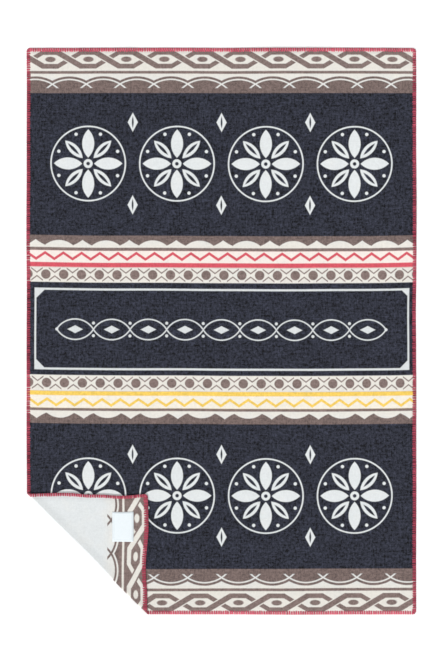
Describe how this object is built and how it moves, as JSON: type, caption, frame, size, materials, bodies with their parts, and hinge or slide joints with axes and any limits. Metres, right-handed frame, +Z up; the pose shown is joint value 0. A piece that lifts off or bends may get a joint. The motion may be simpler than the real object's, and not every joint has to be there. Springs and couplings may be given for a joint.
{
  "type": "folded wool blanket",
  "caption": "Flat woven wool blanket with rounded corners, stitched yarn edging and one corner turned over onto its face to show the reverse and a sewn label.",
  "frame": {"origin": "middle of the underside, on the surface that the blanket lies on", "axes": "+X across the blanket's width, away from the turned-over corner; +Y along its length, away from the turned-over corner; +Z up, out of its face"},
  "size_m": [1.3012, 1.8908, 0.0109],
  "materials": {
    "wool_cloth": "brushed double-faced wool, matt",
    "edging_yarn": "twisted wool yarn, matt",
    "label_tape": "smooth woven tape, slight sheen"
  },
  "bodies": {
    "root": {"blanket": "wool_cloth", "edging": "edging_yarn", "label": "label_tape"}
  },
  "joints": []
}
